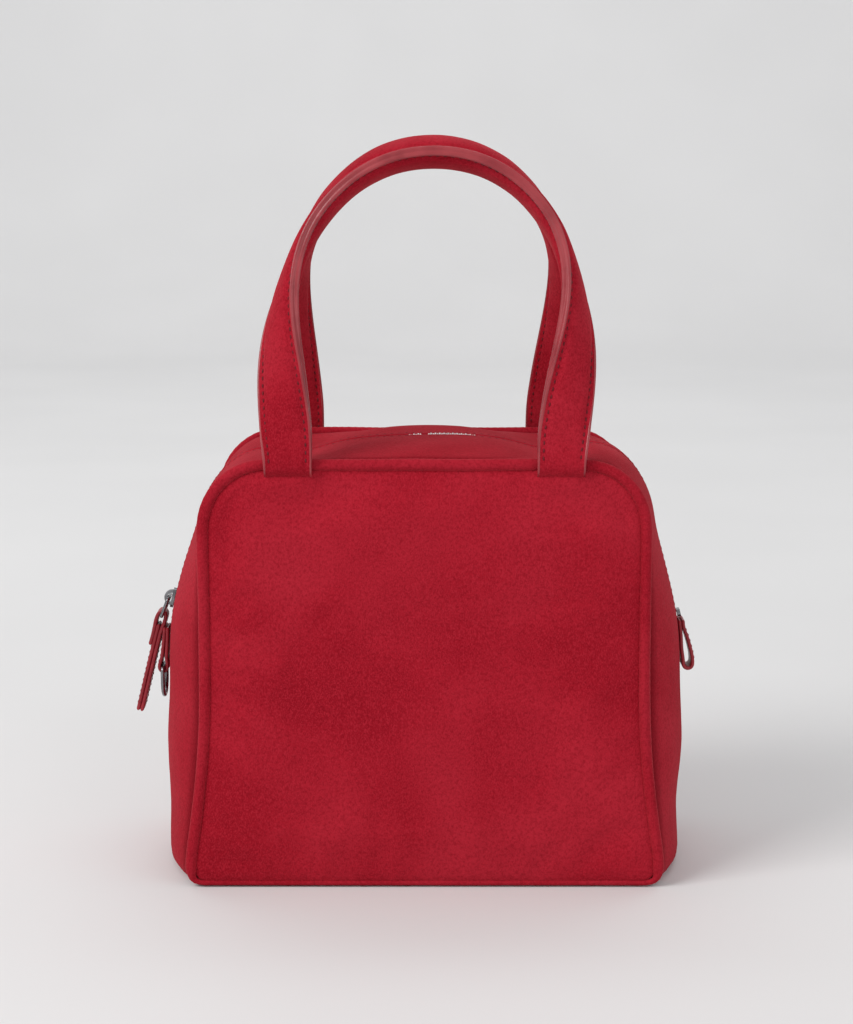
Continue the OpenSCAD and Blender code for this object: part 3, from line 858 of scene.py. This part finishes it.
def zip_strips():
    for side, us in half_runs():
        for lip, sign in (("front", -1), ("back", 1)):
            edge = sign * strip_edge(us)
            obj = skin_solid(f"zip_strip_skin_{lip}_{side}", us, sign * GUSSET_Y, edge, 26,
                             SKIN_OUT, SKIN_IN, SUEDE_GUSSET_SHADED)
            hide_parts(f"zip_strip_{lip}_{side}", f"zip_strip_{lip}_top")
            lip_blend(obj)
            line = skin(us, edge + sign * 2.4 * MM, SKIN_OUT - 0.12 * MM)
            ups = skin(us, edge + sign * 2.4 * MM, SKIN_OUT + 1 * MM) - line
            row = shape_of_parts(f"zip_stitches_{lip}_{side}", stitch_row(line, ups, r=0.22 * MM),
                                 THREAD)
            lip_blend(row)


TOOTH_PITCH = 1.9 * MM


def tooth(place, along_way, up, toward):
    """One metal tooth: a bar across the tape with a rounded head."""
    half = [(-1.0, 0.5), (0.1, 0.5), (0.5, 0.4), (0.95, 0.36), (1.15, 0.2)]
    outline = half + [(x, -w) for x, w in reversed(half)]
    levels = (-0.75, 0.86), (-0.6, 1.0), (0.2, 1.0), (0.5, 0.85), (0.7, 0.6), (0.8, 0.3)
    return closed_sweep([[place + toward * (x * k * MM) + along_way * (w * k * MM) + up * (h * MM)
                          for x, w in outline] for h, k in levels])


def tape_rise(u):
    """The tape stands up between the strips where the top crowns, a little right of the middle."""
    p = at_seam(SEAM, u)
    middle = hill(p[..., 0] - 8 * MM, 20 * MM, 4) * smooth(SEAM_TOP - 3 * MM, SEAM_TOP, p[..., 1])
    return -0.9 * MM + 2.0 * MM * middle


def zip_rows():
    """Tapes and teeth of both sides of the zip."""
    tape_out = SKIN_IN - 0.3 * MM
    step = TOOTH_PITCH / (SEAM_LENGTH / SEAM_COUNT)
    for side, us in half_runs():
        for lip, sign in (("front", -1), ("back", 1)):
            top = tape_out + tape_rise(us[::2])[:, None]
            tape = skin_solid(f"zip_tape_cloth_{lip}_{side}", us[::2], sign * (TAPE_EDGE + 6 * MM),
                              sign * 0.9 * MM, 12, top, top - 0.6 * MM, TAPE)
            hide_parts(f"zip_tape_{lip}_{side}", f"zip_tape_{lip}_top")
            lip_blend(tape)
            parts = []
            count = int(abs(U_TOP - us[0]) / step)
            way = 1 if us[0] < U_TOP else -1
            for k in range(2, count + (sign < 0)):
                u = us[0] + way * (k + (0.5 if sign > 0 else 0)) * step
                y = sign * 0.75 * MM
                level = tape_out + 0.45 * MM + tape_rise(u)
                p = skin(u, y, level)
                ahead = unit(skin(u + 0.5, y, level) - p)
                up = unit(skin(u, y, level + 1 * MM) - p)
                parts.append(tooth(p, ahead, up, np.array([0, -sign, 0])))
            teeth = shape_of_parts(f"zip_teeth_{lip}_{side}", parts, TEETH)
            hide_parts(f"zip_chain_{side}", f"zip_chain_{lip}_top")
            lip_blend(teeth)


# ---------------------------------------------------------------- handles

STRAP_W = extent("handle_root_front_left", 0)
FOOT_X = (lower("handle_root_front_right", 0) + upper("handle_root_front_right", 0)) / 2
HANDLE_Y = float(-JOINTS["handle_front_fold"]["pos_m"][1])
HANDLE_Z = float(JOINTS["handle_front_fold"]["pos_m"][2])
LEG_BOW, LEG_H, ARCH_SQUARE, LEAN_POWER = 4.5 * MM, 55 * MM, 2.1, 1.05
LEG_X = FOOT_X + LEG_BOW
APEX_Y = 22.5 * MM
CORE_T, CORE_W, PLY_T = 4.2 * MM, 15 * MM, 2.0 * MM
LEG_SHARE = 0.28
ROOT_DOWN = 3.6 * MM
STITCH_IN = 2.4 * MM  # from the strap's edge to its stitches
# Arch height and sway of each handle.
ARCHES = {"front": (72.5 * MM, 4 * MM), "back": (77 * MM, 3.5 * MM)}


def strap_path(t, arch_h, sway):
    """Middle line of a handle in front of the bag, t from 0 at one foot to 1 at the other."""
    h = np.where(t <= 0.5, t, 1 - t)
    u = np.clip(h / LEG_SHARE, 0, 1)
    a = np.clip((h - LEG_SHARE) / (0.5 - LEG_SHARE), 0, 1) * math.pi / 2
    leg = h <= LEG_SHARE
    x = np.where(leg, FOOT_X + (LEG_X - FOOT_X) * u * u * (3 - 2 * u),
                 LEG_X * np.maximum(np.cos(a), 0) ** (2 / ARCH_SQUARE))
    z = np.where(leg, LEG_H * u, LEG_H + arch_h * np.sin(a) ** (2 / ARCH_SQUARE))
    x = np.where(t <= 0.5, -x, x)
    rise = z / (LEG_H + arch_h)
    y = -HANDLE_Y + (HANDLE_Y - APEX_Y) * rise ** LEAN_POWER
    return np.stack([x + sway * smooth(0, 1, rise), y, HANDLE_Z + z], -1)


class Strap:
    """Evenly spread stations of one handle: places, width directions and face directions. Below the
    hinge each end dives in behind the panel's top edge."""

    def __init__(self, arch_h, sway, count=210):
        t = np.linspace(0, 1, 1400)
        path = strap_path(t, arch_h, sway)
        foot = []
        for k in np.linspace(1, 0, 40)[:-1]:
            foot.append([path[0][0], path[0][1] + 6.2 * MM * k ** 1.6, path[0][2] - ROOT_DOWN * k])
        foot = np.array(foot)
        path = np.concatenate([foot, path, (foot * [0, 1, 1] + [path[-1][0], 0, 0])[::-1]])
        run = run_along(path)
        at = np.linspace(0, run[-1], count)
        place = at_run(at, run, path)
        for _ in range(3):
            place[1:-1] = (place[:-2] + 2 * place[1:-1] + place[2:]) / 4
        rise = np.clip((place[:, 2] - HANDLE_Z) / (LEG_H + arch_h), 0, 1)
        way = unit(np.gradient(place, axis=0))
        turn = (math.pi / 2 * smooth(0, 0.83, rise))[:, None]
        lean = (HANDLE_Y - APEX_Y) / (LEG_H + arch_h) * LEAN_POWER * rise ** (LEAN_POWER - 1)
        front = unit(np.stack([np.zeros(count), -np.ones(count), lean], 1))
        away = unit(np.cross(front, way))
        face = np.cos(turn) * front + np.sin(turn) * away
        face -= way * np.einsum("ij,ij->i", face, way)[:, None]
        self.face = unit(face)
        self.place = place
        self.wide = np.cross(way, self.face)
        self.foot = np.minimum(at, run[-1] - at)
        # The plies are pressed thin where they enter the seam, and the strap is a little narrower.
        self.press = (0.45 + 0.55 * smooth(4 * MM, 14 * MM, self.foot))[:, None]
        self.narrow = (0.93 + 0.07 * smooth(6 * MM, 26 * MM, self.foot))[:, None]

    def pad(self, s):
        """Half thickness of the padding under a ply at distance s from the strap's middle."""
        full = CORE_T / 2 * (0.1 + 0.9 * smooth(14 * MM, 44 * MM, self.foot))[:, None]
        return full * np.sqrt(np.maximum(0, 1 - (2 * np.asarray(s)[None, :] / CORE_W) ** 2)) ** 0.8

    def points(self, s, d):
        """Points across the strap: s from its middle, d out of its face (stations by row)."""
        s = np.asarray(s)[None, :] * self.narrow
        return (self.place[:, None, :] + s[..., None] * self.wide[:, None, :]
                + (np.asarray(d) * self.press)[:, :, None] * self.face[:, None, :])

    def ply(self, side):
        """One suede ply. side is 1 for the outer face, -1 for the inner."""
        s = STRAP_W / 2 * np.sin(np.linspace(-1, 1, 27) * math.pi / 2) * 0.985
        low = self.pad(s) + 0.05 * MM
        crown = 0.3 * MM * np.sqrt(np.maximum(0, 1 - (2 * s / STRAP_W) ** 2))
        groove = 0.32 * MM * hill(np.abs(s) - STRAP_W / 2 + STITCH_IN, 0.6 * MM)
        high = low + PLY_T - 0.3 * MM + (crown - groove)[None, :]
        outer = self.points(s, side * high)
        wander = 0.2 * MM * ripple(outer.reshape(-1, 3), 0.014, 5.0 + side).reshape(outer.shape[:2])
        outer = outer + wander[..., None] * self.face[:, None, :] * side
        inner = self.points(s[::-1], side * low[:, ::-1])
        return closed_sweep(np.concatenate([outer, inner], 1))

    def edge(self, side):
        """The painted edge: two soft ridges with a groove between the plies."""
        half = PLY_T * 1.02
        angle = np.linspace(-1, 1, 17)
        d = half * np.sin(angle * math.pi / 2)
        out = 0.7 * MM * (1 - angle ** 4) - 0.32 * MM * hill(angle, 0.16)
        s = np.concatenate([STRAP_W / 2 * 0.985 - 0.3 * MM + out, [STRAP_W / 2 - 1.2 * MM] * 2])
        d = np.concatenate([d, [half * 0.8, -half * 0.8]])
        return closed_sweep(self.points(side * s, np.broadcast_to(d, (len(self.place), len(d)))))

    def stitches(self):
        rows = []
        for face_side in (1, -1):
            for edge_side in (1, -1):
                s = edge_side * (STRAP_W / 2 - STITCH_IN)
                line = self.points([s], face_side * (self.pad([s]) + PLY_T - 0.42 * MM))[:, 0]
                rows += stitch_row(line[6:-6], (self.face * face_side)[6:-6], r=0.36 * MM)
        return rows


def mirrored(part):
    points, faces = part
    return np.asarray(points) * [1, -1, 1], [f[::-1] for f in faces]


def handles():
    for name, (arch_h, sway) in ARCHES.items():
        body = "handle_" + name
        strap = Strap(arch_h, sway)
        turn = mirrored if name == "back" else (lambda part: part)
        pieces = []
        for ply, side in (("outer", 1), ("inner", -1)):
            obj = shape_of_parts(f"{body}_{ply}_ply", [turn(strap.ply(side))], SUEDE_STRAP)
            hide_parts(f"{body}_{ply}")
            pieces.append(obj)
        for edge, side in (("a", 1), ("b", -1)):
            pieces.append(shape_of_parts(f"{body}_painted_edge_{edge}", [turn(strap.edge(side))], EDGE))
        pieces.append(shape_of_parts(body + "_stitches", [turn(part) for part in strap.stitches()],
                                     THREAD))
        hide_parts(f"handle_root_{name}_left", f"handle_root_{name}_right")
        for obj in pieces:
            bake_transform(obj)


# ---------------------------------------------------------------- side tabs and pull

def curve_through(points, count):
    """A smooth line through the given points, evenly spread."""
    points = np.asarray(points, float)
    ends = np.vstack([2 * points[0] - points[1], points, 2 * points[-1] - points[-2]])
    line = []
    for k in range(1, len(ends) - 2):
        p0, p1, p2, p3 = ends[k - 1:k + 3]
        for t in np.linspace(0, 1, 14, endpoint=False):
            line.append(0.5 * (2 * p1 + (p2 - p0) * t + (2 * p0 - 5 * p1 + 4 * p2 - p3) * t * t
                               + (3 * p1 - p0 - 3 * p2 + p3) * t ** 3))
    line = np.array(line + [points[-1]])
    run = run_along(line)
    return at_run(np.linspace(0, run[-1], count), run, line)


def leather_strip(path, origin, down, width, thick, count):
    """A leather strip on a path of (a, b): a along down, b away from the bag, both in the XZ plane.
    Returns the strip, and its middle line and face directions for stitching."""
    out = np.array([-down[2], 0, down[0]])
    if out[0] * origin[0] < 0:
        out = -out
    line = curve_through(path, count)
    place = np.asarray(origin) + line[:, :1] * down + line[:, 1:] * out
    way = unit(np.gradient(place, axis=0))
    across = np.array([0, 1.0, 0])
    normal = np.cross(way, across)
    r = min(0.42 * thick, 0.6 * MM)
    corner = np.linspace(0, math.pi / 2, 5)
    section = []
    for sx, sn, start in ((1, 1, 0), (-1, 1, 1), (-1, -1, 2), (1, -1, 3)):
        for a in corner + start * math.pi / 2:
            section.append((sx * (width / 2 - r) + r * math.cos(a),
                            sn * (thick / 2 - r) + r * math.sin(a)))
    run = run_along(place)
    near = np.clip(np.minimum(run, run[-1] - run) / (thick * 0.55), 0, 1)
    full = 0.3 + 0.7 * np.sqrt(1 - (1 - near) ** 2)
    rings = np.array([[place[k] + across * x + normal[k] * d * full[k] for x, d in section]
                      for k in range(count)])
    return closed_sweep(rings), place, normal


def strip_stitches(place, normal, width, thick, sides, trim=4):
    """Stitches along both edges of a strip, on the faces named by sides."""
    parts = []
    for face in sides:
        for edge in (1, -1):
            line = (place + normal * face * (thick / 2 - 0.08 * MM)
                    + [0, edge * (width / 2 - 1.5 * MM), 0])
            parts += stitch_row(line[trim:-trim], (normal * face)[trim:-trim], 1.7 * MM, 2.6 * MM,
                                0.27 * MM)
    return parts


def leaning(degrees, side):
    """Straight down, swung away from the bag. side is 1 on the right."""
    a = math.radians(degrees)
    return np.array([side * math.sin(a), 0, -math.cos(a)])


def mm_path(*points):
    return np.array(points) * MM


def seat(a, origin, down, side, thick):
    """How far from the line down a ply's middle is when it lies on the gusset, at places a along it."""
    us = np.linspace(U_ZIP_RIGHT - 90, U_ZIP_RIGHT + 20, 200)
    wall = skin(us if side > 0 else SEAM_COUNT - us, np.zeros(200), np.full(200, SKIN_OUT))
    place = np.asarray(origin) + np.asarray(a)[:, None] * down
    order = np.argsort(wall[:, 2])
    x = np.interp(place[:, 2], wall[order, 2], wall[order, 0])
    return ((x - place[:, 0]) * side + thick / 2 + 0.05 * MM) / abs(down[2])


FOLD_REACH = 2.08 * MM  # from the middle of a tab's fold to its outer face
PULL_LEAN = 14  # degrees from straight down


def tabs():
    width = extent("tab_left", 1)
    thick = 1.5 * MM
    fold_left = np.array(JOINTS["ring_swing"]["pos_m"], float)
    lo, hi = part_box("tab_right")
    fold_right = np.array([hi[0] - FOLD_REACH, 0, lo[2] + FOLD_REACH])
    paths = {
        "left": (fold_left, mm_path(
            (-18, -0.3), (-12, -0.7), (-5, -0.95), (-1.6, -1.62), (0.3, -1.66), (1.55, -0.9), (1.78, 0),
            (1.55, 0.9), (0.3, 1.66), (-1.6, 1.62), (-5, 1.0), (-12, 0.85), (-18, 0.9))),
        "right": (fold_right, mm_path(
            (-20.5, 0), (-17, 0), (-13, 0), (-8, 0), (-3, -1.9), (0, -1.9), (1.2, -1.1), (1.5, 0.1),
            (1.1, 1.3), (-0.4, 2.1), (-4, 2.2), (-9, 1.5), (-13, 0.7), (-17, 0), (-20.5, 0))),
    }
    for side, (origin, path) in paths.items():
        down = leaning(6, -1 if side == "left" else 1)
        if side == "right":
            seated = seat(path[:, 0], origin, down, 1, thick)
            path[:4, 1] = seated[:4]
            path[-2:, 1] = seated[-2:] + thick + 0.05 * MM
        part, place, normal = leather_strip(path, origin, down, width, thick, 110)
        obj = shape_of_parts("tab_leather_" + side, [part], TRIM)
        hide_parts("tab_" + side)
        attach(obj, "shell")
        outer = slice(len(place) // 2 + 6, None)
        row = shape_of_parts("tab_stitches_" + side,
                             strip_stitches(place[outer], normal[outer], width, thick,
                                            (1,) if side == "left" else (-1,)),
                             THREAD)
        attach(row, "shell")


def pull():
    width = extent("pull_leather", 1)
    origin = np.array(JOINTS["pull_swing"]["pos_m"], float)
    down = leaning(PULL_LEAN, -1)
    long = (origin[2] - lower("pull_leather", 2)) / math.cos(math.radians(PULL_LEAN)) / MM
    ply = 1.65 * MM
    loop = mm_path((14, 2.15), (10, 1.95), (6, 2.0), (2.5, 2.1), (0, 1.75), (-1.3, 1.15), (-1.8, 0),
                   (-1.3, -1.15), (0, -1.75), (3, -1.7), (7, -1.2), (12, -1.05), (long - 8, -1.0),
                   (long - 0.8, -0.95))
    front, place, normal = leather_strip(loop, origin, down, width, ply, 150)
    rows = strip_stitches(place[62:], normal[62:], width, ply, (-1, 1), 3)
    line = mm_path((4.0, 0.45), (9, 0.55), (20, 0.72), (long - 8, 0.7), (long - 0.8, 0.7))
    back, place, normal = leather_strip(line, origin, down, width, ply, 80)
    rows += strip_stitches(place, normal, width, ply, (-1, 1), 3)
    obj = shape_of_parts("pull_leather_strap", [front, back], TRIM)
    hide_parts("pull_leather")
    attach(obj, "pull")
    row = shape_of_parts("pull_stitches", rows, THREAD)
    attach(row, "pull")


# ---------------------------------------------------------------- lining


def lining_panels():
    """The flat front and back of the lining, slightly slack, the back one kept flat where the pocket lies."""
    cloth_t = extent("lining_front", 1)
    lo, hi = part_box("lining_back")
    outline = SEAM - NORMAL * (SEAM[:, 0].max() - float(hi[0]))
    outline[:, 1] = np.maximum(outline[:, 1], lo[2])
    cells = 56
    flat, s, t = coons(outline, (cells, cells))
    p_lo, p_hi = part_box("slip_pocket")
    for side in ("front", "back"):
        face = -(float(hi[1]) - cloth_t)
        grid = np.stack([flat[:, 0], np.full(len(flat), face), flat[:, 1]], 1)
        loose = smooth(0, 0.12, s) * smooth(1, 0.88, s) * smooth(0, 0.12, t) * smooth(1, 0.88, t)
        if side == "back":
            loose = loose * smooth(0, 12 * MM, np.maximum(np.abs(flat[:, 0]) - p_hi[0],
                                                          p_lo[2] - flat[:, 1]))
        grid[:, 1] += 0.7 * MM * loose * (1 + ripple(grid, 0.04, 12.0))
        obj = slab("lining_cloth_" + side, grid, cells, cells, np.array([0, -cloth_t, 0]), LINING)
        if side == "back":
            turned(obj)
        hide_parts("lining_" + side)
        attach(obj, "shell")


def lining_sides():
    """The lining's side walls follow the gusset from the base to the ends of the mouth."""
    top = SEAM[:, 1] > SEAM_TOP - 12 * MM
    for side, sign in (("right", 1), ("left", -1)):
        lo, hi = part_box("lining_" + side)
        half = float(hi[1]) - 0.3 * MM
        mouth = min(abs(float(lo[0])), abs(float(hi[0])))
        u1 = float(np.argmin(np.where(top & (np.arange(SEAM_COUNT) < U_TOP),
                                      np.abs(SEAM[:, 0] - mouth), 1)))
        u0 = place_of(1, 7 * MM)
        us = np.linspace(u0, u1, 80)
        cloth_t = extent("lining_base", 2)
        outer = SKIN_OUT - (upper("side_gusset_right", 0) - upper("lining_right", 0))
        obj = skin_solid("lining_cloth_" + side, us if sign > 0 else SEAM_COUNT - us, -half, half, 40,
                         outer, outer - cloth_t, LINING)
        obj.modifiers.new("weld", "WELD").merge_threshold = 0.001 * MM
        apply_modifiers(obj)
        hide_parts("lining_" + side)
        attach(obj, "shell")


def lining_floor():
    lo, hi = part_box("lining_base")
    foot = foot_of("lining_base")
    rows, cols = 30, 60
    ys = np.linspace(float(lo[1]), float(hi[1]), rows)
    grid = np.array([[foot * k, y, float(hi[2])] for y in ys for k in np.linspace(-1, 1, cols)])
    grid[:, 2] += 0.25 * MM * (1 + ripple(grid, 0.03, 14.0))
    obj = slab("lining_cloth_base", grid, rows, cols, np.array([0, 0, -float(hi[2] - lo[2])]), LINING)
    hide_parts("lining_base")
    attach(obj, "shell")


def pocket():
    """A slip pocket sewn to the back lining on three sides, whose open top stands a little away."""
    lo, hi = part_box("slip_pocket")
    cloth_t = extent("lining_base", 2)
    rows, cols = 30, 44
    grid = []
    for t in np.linspace(0, 1, rows):
        for k in np.linspace(-1, 1, cols):
            belly = (1 - k ** 4) * smooth(0.05, 1.0, t)
            grid.append([float(hi[0]) * k, float(hi[1]) - (0.3 + 2.6 * belly) * MM,
                         float(lo[2] + (hi[2] - lo[2]) * t)])
    grid = np.array(grid)
    hem = grid[-4 * cols:] - [0, cloth_t, 0]
    inward = np.array([0, -cloth_t, 0])
    obj = slab("pocket_cloth", grid, rows, cols, inward, LINING)
    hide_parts("slip_pocket")
    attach(obj, "shell")
    band = slab("pocket_hem", hem - [0, 0.02 * MM, 0], 4, cols, inward, LINING)
    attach(band, "shell")


# ---------------------------------------------------------------- CAD nodes that keep their shape

def repaint():
    finishes = {
        "slider_plate": NICKEL, "slider_bail": NICKEL, "pull_link": NICKEL, "ring_left": NICKEL,
        "zip_stop": NICKEL,
        "front_stiffener": BOARD, "back_stiffener": BOARD, "base_board": BOARD,
        "handle_front_core": FOAM, "handle_back_core": FOAM,
    }
    for name, material in finishes.items():
        slots = frame["nodes"][name].data.materials
        slots.clear()
        slots.append(material)


studio()
panels()
pipings()
side_gussets()
base_skin()
zip_strips()
zip_rows()
handles()
tabs()
pull()
lining_panels()
lining_sides()
lining_floor()
pocket()
repaint()
